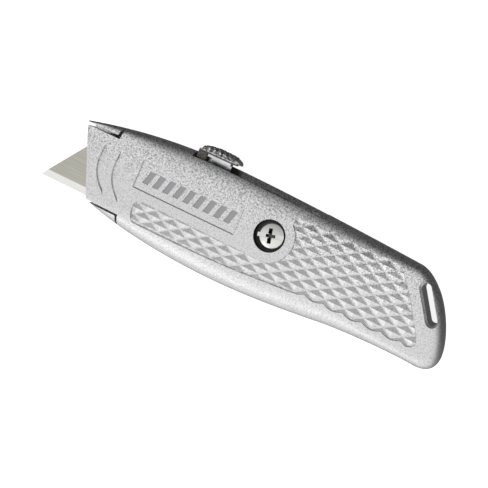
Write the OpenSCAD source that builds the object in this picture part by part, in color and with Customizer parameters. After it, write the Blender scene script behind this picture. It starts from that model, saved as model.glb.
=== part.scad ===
// Retractable utility knife with a two-piece cast handle, held by one screw.
// The knife lies on its right side: +X runs to the tail, +Y to the thumb button,
// +Z to the left side, where the screw is. The origin is on the screw's axis, on the rest face.

/* [Handle] */
// Screw axis to the tip of the nose
nose_len = 82.8; // [78:0.5:104]
// Screw axis to the end of the tail
tail_len = 71.7; // [66:0.5:90]
// Screw axis to the highest point of the back
back_h = 16.7; // [15.5:0.1:22]
// Screw axis to the lowest point of the belly
belly_h = 24.4; // [22.5:0.1:32]
// Thickness of the closed handle
body_thick = 17; // [15.5:0.1:22]
// Thickness of the handle walls
wall = 2; // [1.6:0.1:2.6]
// How far the rounded edges reach in from the outline
edge_in = 5; // [3:0.5:6]
// Share of its thickness that the handle loses at the nose
nose_taper = 0.2; // [0:0.05:0.25]
// Gap between the two shells
shell_gap = 0.1; // [0.05:0.05:0.2]

/* [Hanging slot] */
// Width of the slot
hang_w = 3.3; // [2:0.1:5]
// Length of the slot
hang_l = 14.6; // [8:0.2:18]
// Angle of the slot to the handle's length
hang_tilt = -55.5; // [-70:0.5:-40]

/* [Screw] */
// Diameter of the clamp screw
screw_d = 5; // [4:0.5:6]
// Diameter of its head
head_d = 9.8; // [8:0.1:11]
// Height of its head
head_h = 2.8; // [2:0.1:3.4]
// Width of the ring gap around the head
head_gap = 1.05; // [0.3:0.05:1.2]
// Depth of the head's top below the left face
head_sink = 0.6; // [0.3:0.1:1]
// Clearance of the shank in the threaded boss, on the radius
thread_fit = 0.05; // [0.02:0.01:0.1]

/* [Blade] */
// Length of the cutting edge
blade_len = 61.5; // [58:0.5:74]
// Length of the blade's back
blade_back = 32; // [28:0.5:40]
// Height of the blade
blade_w = 19; // [17:0.5:20]
// Thickness of the blade
blade_t = 0.6; // [0.4:0.05:0.8]
// Length of cutting edge outside the nose
blade_out = 24.5; // [15:0.5:30]
// Distance between the two notches
notch_pitch = 8.4; // [7:0.2:12]
// Width of a notch
notch_w = 2.8; // [2:0.1:3.4]
// Depth of a notch
notch_depth = 2.5; // [1.5:0.1:3]
// Number of spare blades in the handle
spares = 5; // [5:5]

/* [Slider] */
// Travel of the blade slider
travel = 37; // [30:1:38]
// Thickness of the slider's sheet steel
sheet_t = 1; // [0.8:0.1:1.2]
// Travel of the thumb button
press = 1; // [0.6:0.1:1.2]
// Length of the button's neck
neck_l = 9.5; // [7:0.5:11]
// Length of the button's cap
cap_l = 17; // [15:0.5:20]
// Width of the button's cap
cap_w = 9.8; // [8:0.2:10]
// Height of the button's cap
cap_h = 2.9; // [2:0.1:4]
// Diameter of the lock pin
pin_d = 1.8; // [1.2:0.1:2]
// Thickness of the leaf spring
spring_t = 0.4; // [0.3:0.05:0.5]
// Running clearance of the sliding pieces
slide_fit = 0.2; // [0.1:0.05:0.3]

/* [Hidden] */
$fn = 48;
eps = 0.01;
mid = body_thick / 2;

// ---- Outline of the handle: a back curve and a belly curve, from the nose to the tail ----
// Points are shares of nose_len or tail_len along X and of back_h or belly_h along Y.
function place(p) = [p[0] * (p[0] < 0 ? nose_len : tail_len), p[1] * (p[1] < 0 ? belly_h : back_h)];
function bezier(c, t) = pow(1 - t, 3) * c[0] + 3 * t * pow(1 - t, 2) * c[1]
    + 3 * t * t * (1 - t) * c[2] + pow(t, 3) * c[3];
function curve(parts) = concat(
    [for (part = parts) for (k = [0:part[1] - 1]) bezier(part[0], k / part[1])],
    [parts[len(parts) - 1][0][3]]);

nose_tip = place([-1, 0.617]);
nose_heel = place([-0.848, -0.746]);
back_top = place([-0.36, 1]);
back_end = place([0.725, 0.785]);
tail_turn = place([0.854, 0.467]);
tail_end = place([1, -0.541]);
belly_end = place([0.893, -0.811]);
belly_turn = place([0.418, -0.848]);
belly_low = place([-0.205, -1]);

back_line = curve([
    [[nose_tip, place([-0.79, 0.868]), place([-0.58, 1]), back_top], 10],
    [[back_top, place([-0.06, 1]), place([0.418, 0.874]), back_end], 10],
    [[back_end, place([0.774, 0.766]), place([0.816, 0.623]), tail_turn], 5],
    [[tail_turn, place([0.92, 0.2]), place([0.993, -0.266]), tail_end], 9]]);
belly_line = curve([
    [[nose_heel, place([-0.68, -0.926]), place([-0.435, -1]), belly_low], 10],
    [[belly_low, place([0, -1]), place([0.251, -0.914]), belly_turn], 8],
    [[belly_turn, place([0.586, -0.807]), place([0.753, -0.787]), belly_end], 8],
    [[belly_end, place([0.966, -0.824]), place([1.003, -0.73]), tail_end], 8]]);
last = len(back_line) - 1;
nose_dir = (nose_heel - nose_tip) / norm(nose_heel - nose_tip);

// Unit vector at point i of a line, pointing into the handle; turn is -1 on the back, +1 on the belly
function inward(line, i, turn) =
    i == 0 ? (turn < 0 ? nose_dir : -nose_dir)
    : i == last ? [-1, 0]
    : let (d = line[i + 1] - line[i - 1]) turn * [-d[1], d[0]] / norm(d);
function ring(d) = concat(
    [for (i = [0:last]) back_line[i] + d * inward(back_line, i, -1)],
    [for (i = [last - 1:-1:0]) belly_line[i] + d * inward(belly_line, i, 1)]);

// Half thickness at x, which tapers ahead of taper_start
taper_start = -0.54 * nose_len;
function taper(x) = 1 - nose_taper * pow(min(max((taper_start - x) / (nose_len + taper_start), 0), 1), 2);

// ---- One half of the closed handle as a solid block with rounded edges ----
steps = 5;
edge_up = 0.7 * mid;
module half_block(base = 0) {
    levels = concat([[0, base]], [for (k = [0:steps]) let (a = 90 * k / steps)
        [edge_in * (1 - cos(a)), mid - edge_up + edge_up * sin(a)]]);
    n = 2 * last + 1;
    points = [for (l = levels) for (p = ring(l[0])) [p[0], p[1], mid + l[1] * taper(p[0])]];
    sides = [for (k = [0:len(levels) - 2]) for (i = [0:n - 1]) let (a = k * n + i, b = k * n + (i + 1) % n)
        each [[a, b, b + n], [a, b + n, a + n]]];
    // Strips across a face join point i of the back to point i of the belly
    strips = concat([[last - 1, last, last + 1]],
        [for (i = [0:last - 2]) each [[i, i + 1, n - 2 - i], [i, n - 2 - i, n - 1 - i]]]);
    top = (len(levels) - 1) * n;
    polyhedron(points, concat(sides, [for (s = strips) [s[0] + top, s[1] + top, s[2] + top]],
        [for (s = strips) [s[2], s[1], s[0]]]), convexity = 6);
}
module right_half() translate([0, 0, body_thick]) mirror([0, 0, 1]) half_block();
module left_half() half_block(shell_gap);

// A bar with round ends between two points of the XY plane
function arc(c, r, a0) = [for (k = [0:12]) c + r * [cos(a0 + 15 * k), sin(a0 + 15 * k)]];
module racetrack(a, b, r, z0, z1) translate([0, 0, z0]) linear_extrude(height = z1 - z0) {
    turn = atan2(b[1] - a[1], b[0] - a[0]);
    polygon(concat(arc(a, r, turn + 90), arc(b, r, turn - 90)));
}
module block(lo, hi) translate(lo) cube(hi - lo);

// ---- Nose: lugs of the right shell that fill notches of the left shell ----
lug_gap = 1.2;
lug_y = nose_tip[1] - 0.5;
lug_back = nose_tip[0] + 14.2;
heel_y = nose_heel[1] + 0.25;
heel_back = nose_heel[0] + 13;
module lug_area(gap) linear_extrude(height = 2 * body_thick) {
    polygon([[nose_tip[0] - 9, lug_y - gap], [lug_back + gap, lug_y - gap],
        [lug_back + gap + 1, lug_y + 6], [nose_tip[0] - 9, lug_y + 6]]);
    polygon([[nose_heel[0] - 9, heel_y + gap * 0.7], [heel_back + gap * 0.7, heel_y + gap * 0.7],
        [heel_back + gap * 0.7 + 0.8, heel_y - 5], [nose_heel[0] - 9, heel_y - 5]]);
}

// ---- Places that the sliding pieces and the handle share ----
blade_edge = heel_y + 1.05;
blade_top = blade_edge + blade_w;
nose_at_edge = nose_tip + nose_dir * (nose_tip[1] - blade_edge) / -nose_dir[1];
blade_tip = nose_at_edge[0] - blade_out;
blade_mid = blade_tip + blade_len / 2;
plate_front = blade_mid - notch_pitch / 2 - notch_w;
plate_back = blade_mid + 42.5;
plate_top = lug_y;
plate_z = mid - blade_t / 2 - 0.3 - sheet_t;
neck_x = blade_mid + 30;
neck_z = mid + blade_t / 2 + 0.6;
pin_y = back_h - wall - pin_d / 2 - 0.8;
slot_x0 = neck_x - 4.5;
slot_x1 = neck_x + neck_l + travel + 2.8;
slot_w = 5.5;
head_r = head_d / 2;
well_r = head_r + head_gap;
seat_z = body_thick - head_sink - head_h;
screw_end = wall + 0.6;
boss_r = screw_d / 2 + 2.9;
post_r = screw_d / 2 + 2.1;
hang_dir = [cos(hang_tilt), sin(hang_tilt)];
hang_mid = [0.85 * tail_len, 2.2];
hang_a = hang_mid - hang_dir * (hang_l - hang_w) / 2;
hang_b = hang_mid + hang_dir * (hang_l - hang_w) / 2;
cavity_in = wall + 1.1;
bed_lo = blade_edge + 3.4;
bed_hi = lug_y - lug_gap - 1.8;
bed_back = heel_back + 3;
peg_r = 1.3;
pegs = [[-0.48 * nose_len, blade_edge - 2.5], [0.67 * tail_len, 8]];

// Hollow of a shell between z0 and z1, narrower in the nose than in the grip
module hollow(z0, z1) translate([0, 0, z0]) difference() {
    linear_extrude(height = z1 - z0) polygon(ring(cavity_in));
    translate([-2 * nose_len, -2 * belly_h, -1])
        cube([2 * nose_len + bed_back, 2 * belly_h + bed_lo, body_thick]);
}

// Wall around the hanging slot, from z0 to z1
module slot_wall(z0, z1) racetrack(hang_a, hang_b, hang_w / 2 + 1.9, z0, z1);

// Right shell: cast zinc, lies face down; carries the lugs, the boss and the lock rack
module right_shell() color("silver") difference() {
    union() {
        difference() {
            right_half();
            hollow(wall, body_thick);
            // Slit for the blade through the nose
            block([-nose_len - 5, blade_edge - 0.35, mid - blade_t / 2 - slide_fit],
                [bed_back + 1, blade_top + 0.4, body_thick]);
        }
        intersection() {
            half_block();
            translate([0, 0, mid - 1]) lug_area(0);
        }
        cylinder(r = boss_r, h = mid, $fn = 64);
        slot_wall(wall - 1, mid);
        for (y = [plate_top - 2, blade_edge + 12.5])
            block([plate_front + 3, y - 0.7, wall - 0.5], [-12, y + 0.7, plate_z - slide_fit]);
        translate([clip_x, clip_y, wall - 1]) cylinder(r = clip_peg_r, h = clip_z + 1.3 - wall + 1);
        for (p = pegs) translate([p[0], p[1], wall - 1]) cylinder(r = peg_r, h = mid - wall + 3);
        for (p = pegs) translate([p[0], p[1], wall - 1]) cylinder(r = peg_r + 1, h = mid - wall + 1);
    }
    translate([0, 0, screw_end - 0.3]) cylinder(r = screw_d / 2 + thread_fit, h = body_thick, $fn = 64);
    racetrack(hang_a, hang_b, hang_w / 2, -1, body_thick + 1);
    // Straight track under the back for the lock pin, with a notch at each stop
    rack_top = pin_y + pin_d / 2 + 0.15;
    block([neck_x, pin_y - 3, wall + 0.6], [neck_x + neck_l + travel, rack_top, mid + 1]);
    for (x = [0:travel / 4:travel]) translate([neck_x + neck_l / 2 + x, rack_top - 0.1, wall + 0.6])
        cylinder(r = pin_d / 2 + 0.15, h = body_thick);
}

// Left shell: cast zinc, with the head's well, the button's slot and the nose notches
module left_shell() color("gainsboro") difference() {
    union() {
        difference() {
            left_half();
            difference() {
                hollow(0, body_thick - wall);
                block([-2 * nose_len, bed_hi, 0], [lug_back + lug_gap + 1.8, 3 * back_h, body_thick]);
            }
            block([-nose_len - 5, blade_edge - 2, 0],
                [bed_back + 1, blade_top + 0.4, mid + blade_t / 2 + slide_fit]);
        }
        translate([0, 0, mid + shell_gap]) cylinder(r = post_r, h = mid - wall, $fn = 64);
        translate([0, 0, seat_z - 1.3]) cylinder(r = well_r + 1.8, h = 4, $fn = 64);
        slot_wall(mid + shell_gap, body_thick - 1);
        for (y = [blade_edge + 5, blade_edge + 14])
            block([plate_front, y - 0.6, mid + blade_t / 2 + slide_fit], [-14, y + 0.6, body_thick - 2]);
        for (p = pegs) translate([p[0], p[1], mid + shell_gap]) cylinder(r = peg_r + 1.2, h = mid - 2);
    }
    lug_area(lug_gap);
    translate([0, 0, seat_z]) cylinder(r = well_r, h = body_thick, $fn = 64);
    cylinder(r = screw_d / 2 + 0.25, h = body_thick, $fn = 64);
    racetrack(hang_a, hang_b, hang_w / 2, -1, body_thick + 1);
    block([slot_x0, plate_top + 1, 0], [slot_x1, 2 * back_h, mid + slot_w]);
    for (p = pegs) translate([p[0], p[1], 0]) cylinder(r = peg_r + 0.1, h = mid + 3);
}

// Clamp screw: plated steel, cheese head with a cross and a slot
module clamp_screw() color("lightgray") difference() {
    union() {
        translate([0, 0, screw_end]) cylinder(d = screw_d, h = seat_z - screw_end, $fn = 64);
        translate([0, 0, seat_z]) cylinder(r = head_r, h = head_h, $fn = 64);
    }
    translate([0, 0, seat_z + head_h]) {
        cube([2 * head_d, 0.13 * head_d, 2], center = true);
        cube([0.16 * head_d, 0.62 * head_d, 3.2], center = true);
        cube([0.62 * head_d, 0.16 * head_d, 3.2], center = true);
    }
}

// Outline of a trapezoid blade with two notches in its back, tip at the origin
module blade(t) linear_extrude(height = t) {
    end = (blade_len - blade_back) / 2;
    n0 = blade_len / 2 - notch_pitch / 2;
    n1 = blade_len / 2 + notch_pitch / 2;
    h = notch_w / 2;
    low = blade_w - notch_depth;
    polygon([[0, 0], [blade_len, 0], [blade_len - end, blade_w],
        [n1 + h, blade_w], [n1 + h, low], [n1 - h, low], [n1 - h, blade_w],
        [n0 + h, blade_w], [n0 + h, low], [n0 - h, low], [n0 - h, blade_w], [end, blade_w]]);
}
module working_blade() color("tan")
    translate([blade_tip, blade_edge, mid - blade_t / 2]) blade(blade_t);

// Spare blades: a stack in the right shell behind the boss, edges down
spare_pitch = blade_t + 0.06;
spare_x = boss_r - 8.2;
spare_y = blade_edge + 1.2;
module spare_blade(k) color("tan")
    translate([spare_x, spare_y, wall + 0.1 + (k - 1) * spare_pitch]) blade(blade_t);

// Clip that holds the stack down: spring steel on a cast peg
clip_z = wall + 0.1 + spares * spare_pitch + 0.05;
clip_x = spare_x + blade_len / 2;
clip_y = spare_y + blade_w + 3.2;
clip_peg_r = 1.4;
module spare_blade_clip() color("dimgray") difference() {
    union() {
        racetrack([clip_x, clip_y], [clip_x, clip_y - 1], 3, clip_z, clip_z + 0.5);
        block([clip_x - 3, spare_y + 4, clip_z], [clip_x + 3, clip_y, clip_z + 0.5]);
    }
    translate([clip_x, clip_y, 0]) cylinder(r = clip_peg_r + 0.05, h = body_thick);
}

// Blade carriage: folded sheet steel with two studs in the blade's notches
flange_z = mid + blade_t / 2 + 3.8;
window_z = neck_z + sheet_t;
fold_x = plate_front + 12.5;
rivet_x = [fold_x + 2.5, fold_x + 7.5];
rivet_r = 0.8;
module blade_carriage() color("darkgray") {
    difference() {
        union() {
            block([plate_front, blade_edge + 11.9, plate_z],
                [blade_mid + 17.5, plate_top - 1.6, plate_z + sheet_t]);
            block([fold_x, boss_r + 1, plate_z], [plate_back, plate_top, plate_z + sheet_t]);
            block([fold_x, plate_top - sheet_t, plate_z], [plate_back, plate_top, flange_z]);
            for (x = [-1, 1] * notch_pitch / 2)
                block([blade_mid + x - notch_w / 2 + 0.1, blade_top - notch_depth + 0.1, plate_z + 0.1],
                    [blade_mid + x + notch_w / 2 - 0.1, blade_top, mid + blade_t / 2 + 0.1]);
        }
        block([neck_x - 0.25, plate_top - 2 * sheet_t, neck_z - slide_fit],
            [neck_x + neck_l + 0.25, plate_top + 1, window_z + slide_fit]);
        for (x = rivet_x) translate([x, plate_top + 1, (plate_z + sheet_t + flange_z) / 2])
            rotate([90, 0, 0]) cylinder(r = rivet_r + 0.02, h = 4);
    }
}

// Leaf spring: riveted under the carriage's flange, its free end pushes the bracket up
spring_y = plate_top - sheet_t;
foot_y = spring_y - 3.2;
spring_z0 = neck_z - 0.6;
spring_z1 = flange_z - 0.5;
module lock_spring() color("steelblue") difference() {
    translate([0, 0, spring_z0]) linear_extrude(height = spring_z1 - spring_z0) {
        low = foot_y - 0.05;
        top_line = [[rivet_x[0] - 2, spring_y], [rivet_x[1] + 2, spring_y],
            [neck_x - 0.5, low], [neck_x + neck_l - 2, low]];
        polygon(concat(top_line, [for (i = [3:-1:0]) top_line[i] - [0, spring_t]]));
    }
    for (x = rivet_x) translate([x, plate_top + 1, (plate_z + sheet_t + flange_z) / 2])
        rotate([90, 0, 0]) cylinder(r = rivet_r + 0.02, h = 8);
}

// Rivets: two, through the flange and the spring
module spring_rivets() color("lightgray")
    for (x = rivet_x) translate([x, plate_top, (plate_z + sheet_t + flange_z) / 2]) rotate([90, 0, 0]) {
        translate([0, 0, -0.5]) cylinder(r = 1.4, h = 0.5);
        cylinder(r = rivet_r, h = sheet_t + spring_t);
        translate([0, 0, sheet_t + spring_t]) cylinder(r = 1.3, h = 0.5);
    }

// Button bracket: bent sheet steel, from the spring up through the slot to the cap
cap_y = back_h + press + 0.25;
bracket_top = cap_y - 0.5;
module button_bracket() color("lightsteelblue") difference() {
    union() {
        block([neck_x, foot_y, neck_z], [neck_x + neck_l, bracket_top, neck_z + sheet_t]);
        block([neck_x, foot_y, neck_z], [neck_x + neck_l, foot_y + sheet_t, flange_z - 0.7]);
        block([neck_x, bracket_top - sheet_t, neck_z], [neck_x + neck_l, bracket_top, mid + slot_w - 1.3]);
    }
    translate([neck_x + neck_l / 2, pin_y, 0]) cylinder(d = pin_d, h = body_thick);
}

// Lock pin: hardened steel, pressed through the bracket
module lock_pin() color("gray")
    translate([neck_x + neck_l / 2, pin_y, wall + 1.2]) cylinder(d = pin_d, 
        h = neck_z + sheet_t - wall - 0.8);

// Thumb button: cast cap, domed both ways, with a foot in the front of the slot
cap_x = neck_x - 4.2;
cap_dome = 20;
cap_crown = 12;
module thumb_button() color("darkgray") {
    intersection() {
        block([cap_x, cap_y, mid - cap_w / 2], [cap_x + cap_l, cap_y + cap_h, mid + cap_w / 2]);
        translate([cap_x + cap_l / 2, cap_y + cap_h - cap_dome, 0])
            cylinder(r = cap_dome, h = body_thick, $fn = 128);
        translate([cap_x - 1, cap_y + cap_h - cap_crown, mid])
            rotate([0, 90, 0]) cylinder(r = cap_crown, h = cap_l + 2, $fn = 128);
    }
    block([cap_x + 0.6, bracket_top, mid + 0.6], [cap_x + cap_l - 1.5, cap_y, mid + slot_w - 0.9]);
    block([cap_x + 0.3, back_h - 1.8, mid + 0.8], [neck_x - 0.3, cap_y, mid + slot_w - 1.1]);
}

right_shell();
left_shell();
clamp_screw();
working_blade();
blade_carriage();
lock_spring();
spring_rivets();
button_bracket();
lock_pin();
thumb_button();
spare_blade_clip();
for (k = [1:spares]) spare_blade(k);
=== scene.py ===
from math import cos, pi, radians, sin

import bmesh
import bpy
from mathutils import Euler, Matrix, Vector
from mathutils.bvhtree import BVHTree
from mathutils.geometry import delaunay_2d_cdt


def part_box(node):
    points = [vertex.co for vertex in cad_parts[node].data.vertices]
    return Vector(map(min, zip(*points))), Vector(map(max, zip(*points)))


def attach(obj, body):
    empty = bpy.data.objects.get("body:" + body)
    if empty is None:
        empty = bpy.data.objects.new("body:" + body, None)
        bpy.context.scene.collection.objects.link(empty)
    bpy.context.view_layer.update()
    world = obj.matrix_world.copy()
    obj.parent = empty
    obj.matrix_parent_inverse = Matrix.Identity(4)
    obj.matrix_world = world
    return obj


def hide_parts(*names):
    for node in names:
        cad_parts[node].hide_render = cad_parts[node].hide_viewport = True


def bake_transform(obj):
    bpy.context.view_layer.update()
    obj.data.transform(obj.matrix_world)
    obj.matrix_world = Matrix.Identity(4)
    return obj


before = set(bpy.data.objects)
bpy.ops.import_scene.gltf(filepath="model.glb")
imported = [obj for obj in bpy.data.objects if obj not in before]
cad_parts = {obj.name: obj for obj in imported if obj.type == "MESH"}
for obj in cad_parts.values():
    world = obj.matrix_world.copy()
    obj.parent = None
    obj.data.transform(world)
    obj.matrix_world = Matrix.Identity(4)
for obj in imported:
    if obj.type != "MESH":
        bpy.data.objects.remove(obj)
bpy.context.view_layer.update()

# ---- Studio: the knife lies on its right side on a plain white sheet, with the camera above it and
# a little to the tail side. The room is bright on the nose and belly side and dim on the back's
# side, and one weak softbox on the belly side sharpens the relief.
camera_place = (0.08393, 0.03330, 0.36797)
camera_turn = (-6.4654, 14.4755, 25.6438)
camera_lens = 75.246
camera_data = bpy.data.cameras.new("camera")
camera_data.lens = camera_lens
camera_data.sensor_width = 36
camera_data.clip_start = 0.01
camera = bpy.data.objects.new("camera", camera_data)
bpy.context.scene.collection.objects.link(camera)
camera_angles = Euler([radians(angle) for angle in camera_turn], "ZYX")
camera.matrix_world = Matrix.Translation(camera_place) @ camera_angles.to_matrix().to_4x4()
bpy.context.scene.camera = camera
bpy.context.scene.view_settings.view_transform = "Standard"


def soft_light(name, place, target, size, power):
    """A square softbox at place that shines towards target."""
    data = bpy.data.lights.new(name, "AREA")
    data.shape = "SQUARE"
    data.size = size
    data.energy = power
    light = bpy.data.objects.new(name, data)
    bpy.context.scene.collection.objects.link(light)
    aim = (Vector(target) - Vector(place)).to_track_quat("-Z", "Y")
    light.matrix_world = Matrix.Translation(place) @ aim.to_matrix().to_4x4()
    return light


soft_light("belly_light", (-0.30, -0.75, 0.55), (0, 0, 0), 0.5, 0.35)

bright_side = Vector((-0.05, -0.74, 0.62)).normalized()
dark_from = -0.8
bright_from = 1.1
dark_level = 0.09
bright_level = 1.06
world = bpy.data.worlds.new("room")
world.use_nodes = True
room = world.node_tree
direction = room.nodes.new("ShaderNodeTexCoord").outputs["Generated"]
facing = room.nodes.new("ShaderNodeVectorMath")
facing.operation = "DOT_PRODUCT"
facing.inputs[1].default_value = bright_side
room.links.new(direction, facing.inputs[0])
level = room.nodes.new("ShaderNodeMapRange")
level.interpolation_type = "SMOOTHSTEP"
level.inputs["From Min"].default_value = dark_from
level.inputs["From Max"].default_value = bright_from
level.inputs["To Min"].default_value = dark_level
level.inputs["To Max"].default_value = bright_level
room.links.new(facing.outputs["Value"], level.inputs["Value"])
room.nodes["Background"].inputs["Color"].default_value = (1, 1, 1, 1)
room.links.new(level.outputs["Result"], room.nodes["Background"].inputs["Strength"])
bpy.context.scene.world = world

floor_mesh = bpy.data.meshes.new("floor")
floor_half = 3.0
floor_z = -0.0002
floor_mesh.from_pydata(
    [(sx * floor_half, sy * floor_half, floor_z) for sx, sy in ((-1, -1), (1, -1), (1, 1), (-1, 1))],
    [], [(0, 1, 2, 3)])
floor = bpy.data.objects.new("floor", floor_mesh)
bpy.context.scene.collection.objects.link(floor)
floor_material = bpy.data.materials.new("white_sheet")
floor_material.use_nodes = True
floor_shader = floor_material.node_tree.nodes["Principled BSDF"]
floor_shader.inputs["Base Color"].default_value = (0.9, 0.9, 0.9, 1)
floor_shader.inputs["Roughness"].default_value = 0.9
floor_shader.inputs["Emission Color"].default_value = (1, 1, 1, 1)
floor_shader.inputs["Emission Strength"].default_value = 0.8
floor_mesh.materials.append(floor_material)
floor.visible_glossy = False
floor.visible_shadow = False

# ---- Handle shells: two halves of a cast zinc handle, which meet at the middle of its thickness.
# Each is cast with its rails, pegs and bosses inside and with the grip's diamonds, the nameplate
# panel and the nose's crescents in its face, then blasted, which leaves a fine bright grain.
MM = 0.001
low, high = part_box("right_shell")
nose_len = -low.x / MM
tail_len = high.x / MM
back_h = high.y / MM
belly_h = -low.y / MM
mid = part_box("left_shell")[1].z / MM / 2
shell_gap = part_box("left_shell")[0].z / MM - mid
points_per_step = 3


def place(x, y):
    """A point of the outline, from shares of the nose's or tail's length and of the back or belly."""
    return Vector((x * (nose_len if x < 0 else tail_len), y * (belly_h if y < 0 else back_h)))


def curve(parts):
    """Points along cubic curves: each part is its four control points and its number of steps."""
    points = []
    for (a, b, c, d), steps in parts:
        for k in range(steps * points_per_step):
            t = k / (steps * points_per_step)
            points.append(a * (1 - t) ** 3 + b * 3 * t * (1 - t) ** 2 + c * 3 * t * t * (1 - t) + d * t ** 3)
    points.append(parts[-1][0][3])
    return points


nose_tip = place(-1, 0.617)
nose_heel = place(-0.848, -0.746)
back_top = place(-0.36, 1)
back_end = place(0.725, 0.785)
tail_turn = place(0.854, 0.467)
tail_end = place(1, -0.541)
belly_end = place(0.893, -0.811)
belly_turn = place(0.418, -0.848)
belly_low = place(-0.205, -1)
back_line = curve([
    ((nose_tip, place(-0.79, 0.868), place(-0.58, 1), back_top), 10),
    ((back_top, place(-0.06, 1), place(0.418, 0.874), back_end), 10),
    ((back_end, place(0.774, 0.766), place(0.816, 0.623), tail_turn), 5),
    ((tail_turn, place(0.92, 0.2), place(0.993, -0.266), tail_end), 9)])
belly_line = curve([
    ((nose_heel, place(-0.68, -0.926), place(-0.435, -1), belly_low), 10),
    ((belly_low, place(0, -1), place(0.251, -0.914), belly_turn), 8),
    ((belly_turn, place(0.586, -0.807), place(0.753, -0.787), belly_end), 8),
    ((belly_end, place(0.966, -0.824), place(1.003, -0.73), tail_end), 8)])
last = len(back_line) - 1
nose_dir = (nose_heel - nose_tip).normalized()

back_edge = 11.5
hollow_edge = 7.0
belly_edge = 12.0
nose_edge = 1.0
tail_edge = 4.5
roundness = 3.0
nose_spread = 0.6
tail_from = 0.2
tail_spread = 0.6
taper_start = -0.54 * nose_len
nose_taper = 0.2


def ease(t):
    """A share that leaves 0 and reaches 1 softly."""
    t = min(max(t, 0), 1)
    return t * t * (3 - 2 * t)


def edge_depth(x, grip):
    """How far the rounding reaches in at x."""
    if x < 0:
        return nose_edge + (grip - nose_edge) * ease((x + nose_len) / (nose_spread * nose_len))
    return grip + (tail_edge - grip) * ease((x / tail_len - tail_from) / tail_spread)


def half_height(x):
    """Half of the handle's thickness at x."""
    return mid * (1 - nose_taper * min(max((taper_start - x) / (nose_len + taper_start), 0), 1) ** 2)


def ring(share, inset=0, depths=(back_edge, belly_edge)):
    """The outline moved in by an inset, and from there by a share of what is left of the rounding's depth."""
    points = []
    for line, turn, grip in ((back_line, -1, depths[0]), (belly_line, 1, depths[1])):
        moved = []
        for i, point in enumerate(line):
            if i == 0:
                inward = nose_dir if turn < 0 else -nose_dir
            elif i == last:
                inward = Vector((-1, 0))
            else:
                along = line[i + 1] - line[i - 1]
                inward = turn * Vector((-along.y, along.x)).normalized()
            spot = point + inward * (share * edge_depth(point.x, grip) + inset * (1 - share))
            moved.append(Vector((min(spot.x, tail_len), min(max(spot.y, -belly_h), back_h))))
        points += moved if turn < 0 else moved[-2::-1]
    return points


def solid(name, points, faces):
    """A mesh object whose points are given in millimetres."""
    mesh = bpy.data.meshes.new(name)
    mesh.from_pydata([Vector(point) * MM for point in points], [], faces)
    made = bpy.data.objects.new(name, mesh)
    bpy.context.scene.collection.objects.link(made)
    turned = bmesh.new()
    turned.from_mesh(mesh)
    bmesh.ops.recalc_face_normals(turned, faces=turned.faces)
    turned.to_mesh(mesh)
    turned.free()
    return made


def between_rings(count, n):
    """Faces that join each of a count of rings to the next, with n points in a ring."""
    faces = []
    for k in range(count - 1):
        for i in range(n):
            j = (i + 1) % n
            faces.append((k * n + i, k * n + j, (k + 1) * n + j, (k + 1) * n + i))
    return faces


def column(name, first, second):
    """A solid between two rings that have the same number of points."""
    n = len(first)
    ends = [tuple(range(n)), tuple(range(n, 2 * n))]
    return solid(name, first + second, between_rings(2, n) + ends)


def prism(name, outline, z0, z1):
    """An upright solid between z0 and z1 over an outline."""
    return column(name, [(p[0], p[1], z0) for p in outline], [(p[0], p[1], z1) for p in outline])


def filled(outline, step):
    """Triangles that fill an outline, with a grid of points inside it. The outline's points come first."""
    xs = [p[0] for p in outline]
    ys = [p[1] for p in outline]
    grid = []
    for j in range(1, int((max(ys) - min(ys)) / step) + 1):
        for i in range(1, int((max(xs) - min(xs)) / step) + 1):
            point = Vector((min(xs) + i * step, min(ys) + j * step))
            inside = False
            clear = True
            for k in range(len(outline)):
                a = outline[k - 1]
                b = outline[k]
                if (a[1] > point.y) != (b[1] > point.y):
                    if point.x < a[0] + (point.y - a[1]) / (b[1] - a[1]) * (b[0] - a[0]):
                        inside = not inside
                if (Vector(b[:2]) - point).length < 0.4 * step:
                    clear = False
            if inside and clear:
                grid.append(point)
    points = [Vector(p[:2]) for p in outline] + grid
    found = delaunay_2d_cdt(points, [], [list(range(len(outline)))], 1, 1e-7)
    return [tuple(p) for p in found[0]], [tuple(f) for f in found[2]]


def moved_in(outline, amount):
    """The outline with each point moved inwards by an amount."""
    points = [Vector(p[:2]) for p in outline]
    area = sum(points[k - 1].x * p.y - p.x * points[k - 1].y for k, p in enumerate(points))
    moved = []
    for k, point in enumerate(points):
        along = (points[(k + 1) % len(points)] - points[k - 1]).normalized()
        moved.append(point + Vector((-along.y, along.x)) * (amount if area > 0 else -amount))
    return moved


def draped(name, outline, floor_at, z_top, step=2.5, draft=0.0):
    """A cutter over an outline at the face: its floor is at the height that floor_at gives, and draft
    is how far its sloping walls lean in on the way down."""
    points, triangles = filled(moved_in(outline, draft), step)
    n = len(points)
    m = len(outline)
    below = [(x, y, floor_at(x, y)) for x, y in points]
    rim = [(p[0], p[1], face_height(p[0], p[1]) + 0.01) for p in outline]
    top = [(p[0], p[1], z_top) for p in outline]
    faces = list(triangles)
    for i in range(m):
        j = (i + 1) % m
        faces.append((i, j, n + j, n + i))
        faces.append((n + i, n + j, n + m + j, n + m + i))
    faces.append(tuple(range(n + m, n + 2 * m)))
    return solid(name, below + rim + top, faces)


lid_step = 3.0


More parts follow.
